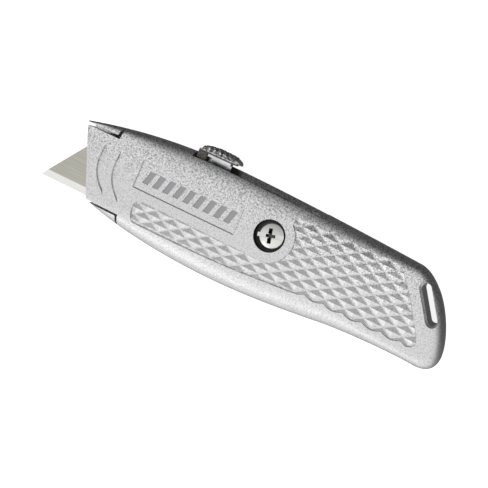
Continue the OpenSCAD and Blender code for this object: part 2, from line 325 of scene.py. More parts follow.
def half_block(name, base, shrink=0.0):
    """The left half of the closed handle as a solid with rounded edges, or the same moved in by shrink."""
    levels = [(0, base)]
    for share in (0.002, 0.012, 0.035, 0.07, 0.12, 0.18, 0.26, 0.35, 0.46, 0.6, 0.78, 1):
        levels.append((share, mid * (1 - (1 - share) ** roundness) ** (1 / roundness)))
    points = []
    n = 2 * last + 1
    depths = (hollow_edge, hollow_edge) if shrink else (back_edge, belly_edge)
    for share, height in levels:
        for p in ring(share, shrink, depths):
            level = height if share == 0 else max(base, height * half_height(p.x) / mid - shrink)
            points.append((p.x, p.y, mid + level))
    face, triangles = filled([(p[0], p[1]) for p in points[-n:]], lid_step)
    top = (len(levels) - 1) * n
    points += [(x, y, mid + half_height(x) - shrink) for x, y in face[n:]]
    lid = [tuple(i + top for i in t) for t in triangles]
    return solid(name, points, between_rings(len(levels), n) + lid + [tuple(range(n))])


def check_closed(piece):
    """Stops the script if a mesh is open, because the solver then skips the cut without a word."""
    tested = bmesh.new()
    tested.from_mesh(piece.data)
    loose = sum(1 for edge in tested.edges if not edge.is_manifold)
    tested.free()
    if loose:
        raise ValueError(f"{piece.name} has {loose} open edges")


def carve(target, tool, operation="DIFFERENCE"):
    """Cuts the tool out of the target, or joins them, and removes the tool."""
    check_closed(target)
    check_closed(tool)
    cut = target.modifiers.new("carve", "BOOLEAN")
    cut.solver = "MANIFOLD"
    cut.operation = operation
    cut.object = tool
    seen = bpy.context.evaluated_depsgraph_get()
    made = bpy.data.meshes.new_from_object(target.evaluated_get(seen))
    target.modifiers.remove(cut)
    target.data = made
    bpy.data.objects.remove(tool)
    if len(made.polygons) == 0:
        raise ValueError(target.name + " is empty after a cut")


def cad_copy(node):
    """A closed copy of a CAD node's mesh, with its loose triangles joined."""
    made = bpy.data.objects.new("copy_of_" + node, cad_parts[node].data.copy())
    made.data.materials.clear()
    if "custom_normal" in made.data.attributes:
        made.data.attributes.remove(made.data.attributes["custom_normal"])
    bpy.context.scene.collection.objects.link(made)
    joined = bmesh.new()
    joined.from_mesh(made.data)
    bmesh.ops.remove_doubles(joined, verts=joined.verts, dist=1e-8)
    joined.to_mesh(made.data)
    joined.free()
    return made


def flipped(piece):
    """Turns a left piece into the right one, mirrored in the plane where the shells meet."""
    piece.data.transform(Matrix.Translation((0, 0, 2 * mid * MM)) @ Matrix.Diagonal((1, 1, -1, 1)))
    piece.data.flip_normals()
    return piece


def box_between(name, a, b):
    """A block between two opposite corners."""
    return prism(name, [(a[0], a[1]), (b[0], a[1]), (b[0], b[1]), (a[0], b[1])], a[2], b[2])


def arc(centre, radius, start, end, steps):
    """Points on an arc, with its angles in degrees."""
    angles = [radians(start + (end - start) * k / steps) for k in range(steps + 1)]
    return [(centre[0] + radius * cos(a), centre[1] + radius * sin(a)) for a in angles]


def circle(radius, steps=96):
    """Points round the origin."""
    return arc((0, 0), radius, 0, 360 - 360 / steps, steps - 1)


hang_w = 3.3
hang_l = 14.6
hang_tilt = -55.5
hang_mid = Vector((0.85 * tail_len, 2.2))
hang_dir = Vector((cos(radians(hang_tilt)), sin(radians(hang_tilt))))


def hanging_slot(name, radius, z0, z1, rim=0.0):
    """A bar with round ends over the hanging slot, wider at its top by rim."""
    ends = (hang_mid - hang_dir * (hang_l - hang_w) / 2, hang_mid + hang_dir * (hang_l - hang_w) / 2)
    rings = []
    for grown in (radius, radius + rim):
        rings.append(arc(ends[1], grown, hang_tilt - 90, hang_tilt + 90, 16)
                     + arc(ends[0], grown, hang_tilt + 90, hang_tilt + 270, 16))
    return column(name, [(p[0], p[1], z0) for p in rings[0]], [(p[0], p[1], z1) for p in rings[1]])


block_skin = half_block("skin", shell_gap)
skin_tree = BVHTree.FromObject(block_skin, bpy.context.evaluated_depsgraph_get())


def face_height(x, y):
    """Height of the left shell's outer surface at a point, or of its highest face beyond the outline."""
    hit = skin_tree.ray_cast(Vector((x * MM, y * MM, 1)), Vector((0, 0, -1)))[0]
    return 2 * mid if hit is None else hit.z / MM


def under_face(depth):
    """A floor that follows the outer surface at a depth."""
    return lambda x, y: face_height(x, y) - depth


# The grip panel runs under the nameplate, round the screw and over the whole grip
panel_depth = 0.7
panel_draft = 0.4
screw_clear = 9.3
diamond_pitch = 7.43
diamond_rows = 2.2
diamond_size = (3.35, 1.98)
diamond_columns = 19
diamond_row_count = 14
first_column = 1.55 - 8.5 * diamond_pitch
first_row = -11.75 - 3 * diamond_rows
sunk = 0.2
above = 2 * mid + 2


def scallops(x0, x1, level, rise, cusp_x):
    """A border of arches from x0 to x1, with its points at the columns of diamonds from cusp_x."""
    steps = int(abs(x1 - x0) / 0.6)
    xs = [x0 + (x1 - x0) * k / steps for k in range(steps + 1)]
    return [(x, level + rise * abs(sin(pi * (x - cusp_x) / diamond_pitch))) for x in xs]


grip_outline = (
    [(-49.6, -17.4), (-37, -17.4), (-24, -17.3), (-17, -17.1), (-10, -16.8), (-4, -16.4), (4, -15.8),
     (10, -15.3), (15, -14.9), (18.4, -14.4)]
    + scallops(20.13, 59.6, -13.4, -1.1, 20.13)
    + [(61.3, -13.8), (62.4, -12.6), (62.3, -11.2), (59.8, -6.9), (56.7, -2.2), (53.5, 2.5), (50, 6.7),
       (47.4, 9.6)]
    + scallops(46.1, 9.2, 10.0, 0.95, 8.98)
    + [(8.2, 10.2), (7.2, 10.3), (6.3, 9.8), (6.2, 8.9)]
    + arc((0, 0), screw_clear, 48, -54, 16)
    + [(3.6, -8.9), (0, -9.3), (-12, -9.2), (-26, -9.0), (-40, -8.8), (-49.4, -8.7), (-51, -9.1),
       (-52, -10.4), (-52.3, -12.6), (-51.6, -15.0), (-50.7, -16.7)])


def dense(outline, step=1.2):
    """The same outline with points no further apart than step."""
    points = []
    for k, a in enumerate(outline):
        b = outline[(k + 1) % len(outline)]
        parts = max(1, int((Vector(b) - Vector(a)).length / step))
        points += [tuple(Vector(a).lerp(Vector(b), j / parts)) for j in range(parts)]
    return points


def socket(tree, name, kind, default):
    """Adds a named input to a tree, and gives its identifier."""
    made = tree.interface.new_socket(name, in_out="INPUT", socket_type=kind)
    made.default_value = default
    return made.identifier


def worked_out(tree, operation, *values):
    """The output of a math node. A number is set on its input, and anything else is linked to it."""
    made = tree.nodes.new("ShaderNodeMath")
    made.operation = operation
    for slot, value in zip(made.inputs, values):
        if isinstance(value, (int, float)):
            slot.default_value = value
        else:
            tree.links.new(value, slot)
    return made.outputs[0]


def diamond_tree():
    """A tree of pyramids on a lattice: rows and columns of four-sided points, every second row shifted."""
    tree = bpy.data.node_groups.new("grip_diamonds", "GeometryNodeTree")
    ids = {
        "columns": socket(tree, "Columns", "NodeSocketInt", 18),
        "rows": socket(tree, "Rows", "NodeSocketInt", 14),
        "pitch": socket(tree, "Pitch", "NodeSocketFloat", 0.00743),
        "row_gap": socket(tree, "Row Gap", "NodeSocketFloat", 0.0022),
        "start": socket(tree, "Start", "NodeSocketVector", (0, 0, 0)),
        "size": socket(tree, "Diamond Size", "NodeSocketVector", (0.0027, 0.0017, 0.0008)),
    }
    tree.interface.new_socket("Geometry", in_out="OUTPUT", socket_type="NodeSocketGeometry")
    node = tree.nodes.new
    link = tree.links.new
    given = node("NodeGroupInput").outputs
    lattice = node("GeometryNodeMeshGrid")
    link(given["Columns"], lattice.inputs["Vertices X"])
    link(given["Rows"], lattice.inputs["Vertices Y"])
    index = node("GeometryNodeInputIndex").outputs[0]
    row = worked_out(tree, "MODULO", index, given["Rows"])
    column_number = worked_out(tree, "FLOOR", worked_out(tree, "DIVIDE", index, given["Rows"]))
    odd = worked_out(tree, "MODULO", row, 2)
    shifted = worked_out(tree, "MULTIPLY_ADD", odd, 0.5, column_number)
    spot = node("ShaderNodeCombineXYZ")
    link(worked_out(tree, "MULTIPLY", shifted, given["Pitch"]), spot.inputs["X"])
    link(worked_out(tree, "MULTIPLY", row, given["Row Gap"]), spot.inputs["Y"])
    moved = node("ShaderNodeVectorMath")
    moved.operation = "ADD"
    link(spot.outputs[0], moved.inputs[0])
    link(given["Start"], moved.inputs[1])
    put = node("GeometryNodeSetPosition")
    link(lattice.outputs["Mesh"], put.inputs["Geometry"])
    link(moved.outputs[0], put.inputs["Position"])
    cone = node("GeometryNodeMeshCone")
    cone.inputs["Vertices"].default_value = 4
    cone.inputs["Radius Top"].default_value = 0
    cone.inputs["Radius Bottom"].default_value = 1
    cone.inputs["Depth"].default_value = 1
    copies = node("GeometryNodeInstanceOnPoints")
    link(put.outputs["Geometry"], copies.inputs["Points"])
    link(cone.outputs["Mesh"], copies.inputs["Instance"])
    link(given["Diamond Size"], copies.inputs["Scale"])
    real = node("GeometryNodeRealizeInstances")
    link(copies.outputs["Instances"], real.inputs["Geometry"])
    finish = node("GeometryNodeSetMaterial")
    link(real.outputs["Geometry"], finish.inputs["Geometry"])
    link(finish.outputs["Geometry"], node("NodeGroupOutput").inputs["Geometry"])
    return tree, ids, finish


def grown(name, tree, ids, values):
    """Runs a tree with its inputs set and returns the result as a plain mesh object."""
    carrier = bpy.data.objects.new(name, bpy.data.meshes.new(name))
    bpy.context.scene.collection.objects.link(carrier)
    run = carrier.modifiers.new("grow", "NODES")
    run.node_group = tree
    for key, value in values.items():
        run[ids[key]] = value
    seen = bpy.context.evaluated_depsgraph_get()
    made = bpy.data.meshes.new_from_object(carrier.evaluated_get(seen))
    carrier.modifiers.remove(run)
    carrier.data = made
    return carrier


def noise(tree, scale, detail, coords, rough=0.6):
    """A cloudy pattern over the coordinates."""
    made = tree.nodes.new("ShaderNodeTexNoise")
    made.inputs["Scale"].default_value = scale
    made.inputs["Detail"].default_value = detail
    made.inputs["Roughness"].default_value = rough
    tree.links.new(coords, made.inputs["Vector"])
    return made.outputs["Fac"]


def spread(tree, value, low_in, high_in, low_out, high_out):
    """A value moved from one range to another."""
    made = tree.nodes.new("ShaderNodeMapRange")
    made.inputs["From Min"].default_value = low_in
    made.inputs["From Max"].default_value = high_in
    made.inputs["To Min"].default_value = low_out
    made.inputs["To Max"].default_value = high_out
    tree.links.new(value, made.inputs["Value"])
    return made.outputs["Result"]


def tones(tree, value, stops):
    """A colour ramp over grey or coloured stops: each stop is a place and a colour."""
    made = tree.nodes.new("ShaderNodeValToRGB")
    made.color_ramp.elements[0].position = stops[0][0]
    made.color_ramp.elements[0].color = (*stops[0][1], 1)
    made.color_ramp.elements[1].position = stops[-1][0]
    made.color_ramp.elements[1].color = (*stops[-1][1], 1)
    for spot, colour in stops[1:-1]:
        made.color_ramp.elements.new(spot).color = (*colour, 1)
    tree.links.new(value, made.inputs["Fac"])
    return made.outputs["Color"]


def metal(name):
    """A bare metal material and its parts: the tree, the shader and the object's coordinates."""
    made = bpy.data.materials.new(name)
    made.use_nodes = True
    tree = made.node_tree
    shader = tree.nodes["Principled BSDF"]
    shader.inputs["Metallic"].default_value = 1.0
    coords = tree.nodes.new("ShaderNodeTexCoord").outputs["Object"]
    return made, tree, shader, coords


def surfaced(tree, shader, colour, rough_by, rough, bump_by, strength, distance):
    """Joins a metal's colour, its roughness between two values and its bump to the shader."""
    tree.links.new(colour, shader.inputs["Base Color"])
    tree.links.new(spread(tree, rough_by, 0.3, 0.7, *rough), shader.inputs["Roughness"])
    made = tree.nodes.new("ShaderNodeBump")
    made.inputs["Strength"].default_value = strength
    made.inputs["Distance"].default_value = distance
    tree.links.new(bump_by, made.inputs["Height"])
    tree.links.new(made.outputs["Normal"], shader.inputs["Normal"])


# Over this band of height the speckle's contrast grows towards the back: painted shade laid over the real
# grain.
grain_shade_from = -0.006
grain_shade_to = 0.012
grain_and_shade_gain = 3.2
fine_share = 0.4


def cast_zinc(name, dark, middle, light, rough_low, rough_high):
    """Blasted cast zinc: a bright grey metal with a fine sparkling grain, whose contrast grows towards the
    back so that the back side comes out darker, as painted shade.
    """
    made, tree, shader, coords = metal(name)
    fine_grain = noise(tree, 3000, 2, coords)
    grain = noise(tree, 1700, 2, coords)
    cloud = noise(tree, 180, 3, coords)
    coarse_part = worked_out(tree, "MULTIPLY", grain, 1 - fine_share)
    both = worked_out(tree, "MULTIPLY_ADD", fine_grain, fine_share, coarse_part)
    # The grain's contrast grows with height towards the back, a painted shade that darkens the back side on
    # top of the real grain.
    split = tree.nodes.new("ShaderNodeSeparateXYZ")
    tree.links.new(coords, split.inputs[0])
    grain_and_back_shade = spread(tree, split.outputs["Y"], grain_shade_from, grain_shade_to, 1.0, grain_and_shade_gain)
    strong = worked_out(tree, "MULTIPLY_ADD", worked_out(tree, "SUBTRACT", both, 0.5), grain_and_back_shade, 0.5)
    colour = tones(tree, strong, [(0.2, dark), (0.5, middle), (0.75, light)])
    surfaced(tree, shader, colour, cloud, (rough_low, rough_high), both, 0.4, 0.00009)
    return made


def panel_paint():
    """The nameplate's sunk bars: zinc with a smooth, darker grey finish."""
    made, tree, shader, coords = metal("bar_grey")
    grain = noise(tree, 2600, 2, coords)
    colour = tones(tree, grain, [(0.3, (0.36, 0.36, 0.37)), (0.7, (0.44, 0.44, 0.45))])
    surfaced(tree, shader, colour, grain, (0.45, 0.55), grain, 0.1, 0.00005)
    return made


zinc = cast_zinc("cast_zinc_blasted", (0.30, 0.30, 0.31), (0.70, 0.70, 0.70), (0.90, 0.90, 0.90), 0.30, 0.38)
bar_grey = panel_paint()
# Near-black zinc for the left shell's screw well: painted shade in the recess round the screw's head.
well_painted_shade = cast_zinc("well_painted_shade", (0.05, 0.05, 0.05), (0.08, 0.08, 0.08), (0.12, 0.12, 0.12), 0.5, 0.6)
lattice_tree, lattice_ids, lattice_finish = diamond_tree()
lattice_finish.inputs["Material"].default_value = zinc


def grip_cutter(name):
    """What is taken out of a face for the grip: the panel less its pyramids, which start sunk below it."""
    cutter = draped(name, dense(grip_outline), under_face(panel_depth), above, draft=panel_draft)
    rise = panel_depth + sunk
    grow = rise / panel_depth
    pyramids = grown(name + "_diamonds", lattice_tree, lattice_ids, {
        "columns": diamond_columns, "rows": diamond_row_count,
        "pitch": diamond_pitch * MM, "row_gap": diamond_rows * MM,
        "start": (first_column * MM, first_row * MM, 0),
        "size": (diamond_size[0] * grow * MM, diamond_size[1] * grow * MM, rise * MM)})
    joined = bmesh.new()
    joined.from_mesh(pyramids.data)
    bmesh.ops.remove_doubles(joined, verts=joined.verts, dist=1e-7)
    for vert in list(joined.verts):
        surface = face_height(vert.co.x / MM, vert.co.y / MM)
        vert.co.z = vert.co.z + (surface - panel_depth - sunk - 0.02) * MM
    joined.to_mesh(pyramids.data)
    joined.free()
    carve(cutter, pyramids)
    return cutter


plate = (-55.2, -12.3, -5.35, 5.6)
plate_depth = 0.5
plate_draft = 0.4
bar_draft = 0.12
bars_area = (-52.5, -14.0, -2.4, 2.8)
bar_count = 9
bar_lean = 1.6
bar_share = 0.6
bar_depth = 0.3


def plate_cutter(name):
    """The nameplate's shallow panel."""
    x0, x1, y0, y1 = plate
    outline = dense([(x0, y0), (x1, y0), (x1, y1), (x0, y1)])
    return draped(name, outline, under_face(plate_depth), above, draft=plate_draft)


def bar_cutters(name):
    """Plain slanted bars, which fill the nameplate."""
    x0, x1, y0, y1 = bars_area
    pitch = (x1 - x0 - bar_lean) / (bar_count - 1 + bar_share)
    cutters = []
    for k in range(bar_count):
        left = x0 + k * pitch
        right = left + bar_share * pitch
        outline = dense([(left, y0), (right, y0), (right + bar_lean, y1), (left + bar_lean, y1)])
        floor = under_face(plate_depth + bar_depth)
        cutters.append(draped(f"{name}_{k}", outline, floor, above, draft=bar_draft))
    return cutters


crescents = (((-71.9, 5.0), (-64.9, -12.9)), ((-64.9, 5.0), (-58.0, -13.3)))
outer_bulge = 3.3
inner_bulge = 0.9
crescent_deep = 0.55
crescent_shallow = 0.32
crescent_step = 0.7


def crescent_cutter(name, ends):
    """A moon-shaped dip at the nose, deep at its front edge and shallow at its rear one."""
    a = Vector(ends[0])
    b = Vector(ends[1])
    out = Vector((-(a - b).y, (a - b).x)).normalized()
    steps = 20
    front = [a.lerp(b, k / steps) + out * outer_bulge * sin(pi * k / steps) for k in range(steps + 1)]
    rear = [a.lerp(b, k / steps) + out * inner_bulge * sin(pi * k / steps) for k in range(steps + 1)]

    def floor_at(x, y):
        """Height of the dip's floor at a point."""
        point = Vector((x, y))
        t = min(max((point - a).dot(b - a) / (b - a).length_squared, 0.001), 0.999)
        off = (point - a.lerp(b, t)).dot(out) / sin(pi * t)
        share = min(max((off - inner_bulge) / (outer_bulge - inner_bulge), 0), 1)
        return face_height(x, y) - crescent_shallow - (crescent_deep - crescent_shallow) * share

    outline = front + rear[-2:0:-1]
    return draped(name, [tuple(p) for p in outline], floor_at, above, crescent_step)


def relief(shell, side):
    """Cuts the grip, the nameplate with its bars and the crescents into a shell's face."""
    cutters = [grip_cutter(side + "_grip"), plate_cutter(side + "_plate")] + bar_cutters(side + "_bar")
    cutters += [crescent_cutter(f"{side}_crescent_{k}", ends) for k, ends in enumerate(crescents)]
    for cutter in cutters:
        carve(shell, flipped(cutter) if side == "right" else cutter)


def coated(piece, *materials):
    """Gives a piece its materials, in place of any that its cutters left behind."""
    piece.data.materials.clear()
    for material in materials:
        piece.data.materials.append(material)


def finish_faces(shell, side):
    """Gives a shell its materials and smooth shading, with the bars' floors in the darker grey and the screw
    well's floor and wall near black as painted shade.
    """
    coated(shell, zinc, bar_grey, well_painted_shade)
    x0, x1, y0, y1 = bars_area
    for polygon in shell.data.polygons:
        x, y, z = (value / MM for value in polygon.center)
        depth = (2 * mid - z) if side == "left" else z
        flat = x0 - 0.5 < x < x1 + 0.5 and y0 < y < y1 and abs(polygon.normal.z) > 0.9
        in_bar = flat and depth + face_height(x, y) - 2 * mid > plate_depth + bar_depth / 2
        polygon.material_index = 1 if in_bar else 0
        # The screw well's floor and wall take the near-black zinc: painted shade in the recess.
        if side == "left" and x * x + y * y < (well_r + 0.02) ** 2 and z < 2 * mid - 0.1:
            polygon.material_index = 2
    shell.data.shade_smooth()
    shell.data.set_sharp_from_angle(angle=radians(14))


lug_gap = 1.2
lug_y = nose_tip.y - 0.5
lug_back = nose_tip.x + 14.2
heel_y = nose_heel.y + 0.25
heel_back = nose_heel.x + 13
lug_reach = 9


def lug_areas(name, gap, z0, z1):
    """Prisms over the nose's two lugs, grown by a gap."""
    upper = [(nose_tip.x - lug_reach, lug_y - gap), (lug_back + gap, lug_y - gap),
             (lug_back + gap + 1, lug_y + 6), (nose_tip.x - lug_reach, lug_y + 6)]
    low_gap = 0.7 * gap
    lower = [(nose_heel.x - lug_reach, heel_y + low_gap), (heel_back + low_gap, heel_y + low_gap),
             (heel_back + low_gap + 0.8, heel_y - 5), (nose_heel.x - lug_reach, heel_y - 5)]
    return [prism(name + "_upper", upper, z0, z1), prism(name + "_lower", lower, z0, z1)]


screw_low, screw_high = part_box("clamp_screw")
head_r = (screw_high.x - screw_low.x) / 2 / MM
head_h = 2.8
well_r = head_r + 1.05
seat_z = screw_high.z / MM - head_h
screw_end = screw_low.z / MM
shank_r = 2.5
blade_low, blade_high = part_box("working_blade")
bed_back = heel_back + 3
skin_wall = 1.0
inner_wall = 2.6
shank_gap = 0.25
thread_gap = 0.05
slit_gap = 0.4

# Left shell: cast with the screw's well, the notches for the lugs and the button's slot
left_shell = half_block("left_shell_cast", shell_gap)
hollow = half_block("left_hollow", -1, skin_wall)
carve(hollow, prism("left_hollow_walls", ring(0, inner_wall), 0, 3 * mid), "INTERSECT")
carve(hollow, cad_copy("left_shell"))
carve(left_shell, hollow)
for tool in lug_areas("left_notch", lug_gap, 0, 3 * mid):
    carve(left_shell, tool)
slit_top = mid + (blade_high.z - blade_low.z) / MM / 2 + 0.2
carve(left_shell, box_between("left_slit", (-nose_len - 5, blade_low.y / MM - 2, 0),
                              (bed_back + 1, blade_high.y / MM + slit_gap, slit_top)))
carve(left_shell, hanging_slot("left_hole", hang_w / 2, -1, 3 * mid))
hole_rim = (2 * mid - 0.9, 2 * mid + 0.6, 1.5)
carve(left_shell, hanging_slot("left_hole_rim", hang_w / 2, *hole_rim))
carve(left_shell, prism("well", circle(well_r), seat_z, 3 * mid))
carve(left_shell, prism("screw_hole", circle(shank_r + shank_gap), 0, 3 * mid))
neck_low, neck_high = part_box("button_bracket")
neck_x = neck_low.x / MM
neck_l = neck_high.x / MM - neck_x
travel = 37
slot_x0 = neck_x - 4.5
slot_x1 = neck_x + neck_l + travel + 2.8
slot_w = 5.5
carve(left_shell, box_between("button_slot", (slot_x0, lug_y + 1, 0), (slot_x1, 2 * back_h, mid + slot_w)))
lip_step = 2.2


def along_back(name, x0, x1, section):
    """A cutter that follows the back's outline from x0 to x1. The section gives each corner's distance
    in from the outline, and its height."""
    places = [k for k in range(1, last) if x0 - 3 < back_line[k].x < x1 + 3]
    points = []
    for k in places:
        along = (back_line[k + 1] - back_line[k - 1]).normalized()
        spot = back_line[k]
        if spot.x < x0:
            spot = spot + along * (x0 - spot.x) / along.x
        if spot.x > x1:
            spot = spot + along * (x1 - spot.x) / along.x
        if points and abs(points[-1][0].x - spot.x) < 0.05:
            continue
        points.append((spot, Vector((along.y, -along.x))))
    m = len(section)
    corners = []
    for spot, inward in points:
        for distance, height in section:
            corners.append((spot.x, spot.y + inward.y * distance, height))
    ends = [tuple(range(m)), tuple(range(len(corners) - m, len(corners)))]
    return solid(name, corners, ends + between_rings(len(points), m))


carve(left_shell, along_back("lip_cut", slot_x0, slot_x1, [
    (lip_step, mid - 1), (lip_step, 2 * mid + 1), (-3, 2 * mid + 1), (-3, mid - 1)]))
relief(left_shell, "left")
finish_faces(left_shell, "left")
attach(left_shell, "cover")
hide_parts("left_shell")

# Right shell: cast with the lugs, the boss for the screw's thread and the lock pin's track
right_shell = flipped(half_block("right_shell_cast", 0))
hollow = flipped(half_block("right_hollow", -1, skin_wall))
carve(hollow, prism("right_hollow_walls", ring(0, inner_wall), -mid, 2 * mid), "INTERSECT")
carve(hollow, cad_copy("right_shell"))
carve(right_shell, hollow)
raised = prism("right_raised", ring(0, inner_wall), mid - 0.5, 2 * mid)
carve(raised, cad_copy("right_shell"), "INTERSECT")
carve(right_shell, raised, "UNION")
for tool in lug_areas("right_lug", 0, mid - 1, 3 * mid):
    carve(tool, half_block("lug_block", -1), "INTERSECT")
    carve(right_shell, tool, "UNION")
carve(right_shell, box_between("right_slit", (-nose_len - 5, blade_low.y / MM - 0.35, mid - 0.5),
                               (bed_back + 1, blade_high.y / MM + slit_gap, 3 * mid)))
carve(right_shell, hanging_slot("right_hole", hang_w / 2, -1, 3 * mid))
carve(right_shell, flipped(hanging_slot("right_hole_rim", hang_w / 2, *hole_rim)))
carve(right_shell, prism("thread_hole", circle(shank_r + thread_gap), screw_end - 0.3, 3 * mid))
pin_low, pin_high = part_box("lock_pin")
carve(right_shell, box_between("lock_track", (neck_x + 0.1, pin_low.y / MM - 2, pin_low.z / MM - 0.5),
                               (neck_x + neck_l + travel - 0.1, pin_high.y / MM + 0.12, mid + 1)))
carve(right_shell, along_back("rim_slope", slot_x0, slot_x1, [
    (lip_step + 0.3, mid), (-0.3, mid - 4), (-3, mid - 4), (-3, mid + 1), (lip_step + 0.3, mid + 1)]))
relief(right_shell, "right")
finish_faces(right_shell, "right")
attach(right_shell, "handle")
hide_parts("right_shell")
bpy.data.objects.remove(block_skin)

# ---- Clamp screw: one turned steel screw with a low domed head, which has a slot and a cross recess
# for either driver, and a rolled thread. It is bright plated, drops into the left shell's well, and
# screws into the right shell to hold the two together.
screw_steps = 64
seat_gap = 0.03
thread_pitch = 0.9
thread_rows = 8
thread_deep = 0.38
head_side = 1.75
head_rim = 0.18
crown_edge = 0.25
crown_rows = 12
thread_top = seat_z - 3.2
slot_turn = radians(14.2)
screw_slot_w = 1.55
screw_slot_deep = 1.25
cross_deep = 2.5
recess_r = 3.5


def turned_screw(name):
    """The screw without its recesses: rows of points from the tip up to the top of the head."""
    rows = []
    count = int((seat_z - screw_end) / thread_pitch * thread_rows)
    for k in range(count + 1):
        z = screw_end + (seat_z - screw_end) * k / count
        points = []
        for i in range(screw_steps):
            turn = ((z - screw_end) / thread_pitch - i / screw_steps) % 1
            groove = thread_deep * (1 - abs(2 * turn - 1))
            groove *= min(1, max(0, (thread_top - z) / 0.6))
            tip = 0.5 * max(0, 1 - (z - screw_end) / 0.6)
            points.append((shank_r - max(groove, tip), z))
        rows.append(points)
    side_top = seat_z + head_side
    crown_r = head_r - crown_edge
    for r, z in ((head_r - head_rim, seat_z + seat_gap), (head_r, seat_z + head_rim),
                 (head_r, side_top - 0.1), (crown_r, side_top)):
        rows.append([(r, z)] * screw_steps)
    crown = screw_high.z / MM - side_top
    for k in range(1, crown_rows):
        r = crown_r * (1 - k / crown_rows)
        rows.append([(r, side_top + crown * (1 - (r / crown_r) ** 2))] * screw_steps)
    points = []
    for row in rows:
        for i, (r, z) in enumerate(row):
            angle = 2 * pi * i / screw_steps
            points.append((r * cos(angle), r * sin(angle), z))
    points += [(0, 0, screw_end), (0, 0, screw_high.z / MM)]
    n = screw_steps
    faces = between_rings(len(rows), n)
    top = (len(rows) - 1) * n
    for i in range(n):
        faces.append((i, (i + 1) % n, len(points) - 2))
        faces.append((top + i, top + (i + 1) % n, len(points) - 1))
    return solid(name, points, faces)


def tapered(name, turn, wide, narrow):
    """A cutter with sloping walls: wide and narrow are its length, width and height at each end."""
    rings = []
    for length, width, z in (narrow, wide):
        corners = [(sx * length / 2, sy * width / 2) for sx, sy in ((-1, -1), (1, -1), (1, 1), (-1, 1))]
        rings.append([(x * cos(turn) - y * sin(turn), x * sin(turn) + y * cos(turn), z) for x, y in corners])
    return column(name, *rings)


def plated_steel(name, dark, light, rough_low, rough_high):
    """Plated steel: a smooth bright metal with faint clouds and fine marks."""
    made, tree, shader, coords = metal(name)
    cloud = noise(tree, 320, 3, coords)
    fine_marks = noise(tree, 2400, 2, coords)
    colour = tones(tree, cloud, [(0.3, dark), (0.7, light)])
    surfaced(tree, shader, colour, cloud, (rough_low, rough_high), fine_marks, 0.08, 0.00003)
    return made


screw_top = screw_high.z / MM
clamp_screw = turned_screw("clamp_screw_turned")
carve(clamp_screw, tapered("screw_slot", slot_turn, (14, screw_slot_w + 0.25, screw_top + 0.3),
                           (14, screw_slot_w - 0.1, screw_top - screw_slot_deep)))
for arm_turn, arm_l in ((slot_turn, 5.2), (slot_turn + pi / 2, 6.6)):
    carve(clamp_screw, tapered("screw_cross", arm_turn, (arm_l, 1.55, screw_top + 0.3),
                               (2.2, 0.8, screw_top - cross_deep)))
bright_plating = plated_steel("bright_plating", (0.66, 0.66, 0.64), (0.80, 0.80, 0.78), 0.08, 0.16)
# Near-black steel for the slot's floor and the cross recess: painted shade in the screw's recesses.
recess_painted_shade = plated_steel("recess_painted_shade", (0.06, 0.06, 0.06), (0.12, 0.12, 0.12), 0.3, 0.4)
coated(clamp_screw, bright_plating, recess_painted_shade)
# The slot's floor and the cross recess's walls take the near-black steel as painted shade.
for polygon in clamp_screw.data.polygons:
    x, y, z = (value / MM for value in polygon.center)
    across = abs(-x * sin(slot_turn) + y * cos(slot_turn))
    in_slot = across < screw_slot_w / 2 + 0.15
    deep = z < screw_top - screw_slot_deep - 0.12 or (not in_slot and abs(polygon.normal.z) < 0.93)
    if deep and x * x + y * y < recess_r ** 2 and z > screw_top - cross_deep - 0.1:
        polygon.material_index = 1
clamp_screw.data.shade_smooth()
clamp_screw.data.set_sharp_from_angle(angle=radians(24))
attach(clamp_screw, "screw")
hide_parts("clamp_screw")

# ---- Blades: one working blade and five spares, stamped from hardened carbon steel strip with two
# notches in the back, then ground on both faces to a long bevel at the edge. The working blade sits
# on the carriage's studs, and the spares lie in a stack in the tail under a clip.
bevel_h = 2.8
edge_half = 0.03


def stretched(tree, coords, scale):
    """Coordinates scaled so that a pattern runs in lines."""
    made = tree.nodes.new("ShaderNodeMapping")
    made.inputs["Scale"].default_value = scale
    tree.links.new(coords, made.inputs["Vector"])
    return made.outputs["Vector"]


def blade_body():
    """Rolled blade steel: a warm grey with fine lengthwise lines."""
    made, tree, shader, coords = metal("rolled_blade_steel")
    lines = noise(tree, 2600, 3, stretched(tree, coords, (0.04, 1, 1)))
    cloud = noise(tree, 90, 3, coords)
    colour = tones(tree, lines, [
        (0.3, (0.42, 0.41, 0.36)), (0.55, (0.51, 0.50, 0.44)), (0.75, (0.57, 0.56, 0.50))])
    surfaced(tree, shader, colour, cloud, (0.30, 0.42), lines, 0.12, 0.00003)
    return made


def blade_bevel():
    """The ground bevel: bright steel with grinding lines across the edge."""
    made, tree, shader, coords = metal("ground_bevel")
    lines = noise(tree, 5200, 2, stretched(tree, coords, (1, 0.05, 1)))
    colour = tones(tree, lines, [(0.3, (0.76, 0.76, 0.73)), (0.7, (0.88, 0.88, 0.85))])
    surfaced(tree, shader, colour, lines, (0.26, 0.36), lines, 0.10, 0.00003)
    return made


strip_steel = blade_body()
bevel_steel = blade_bevel()


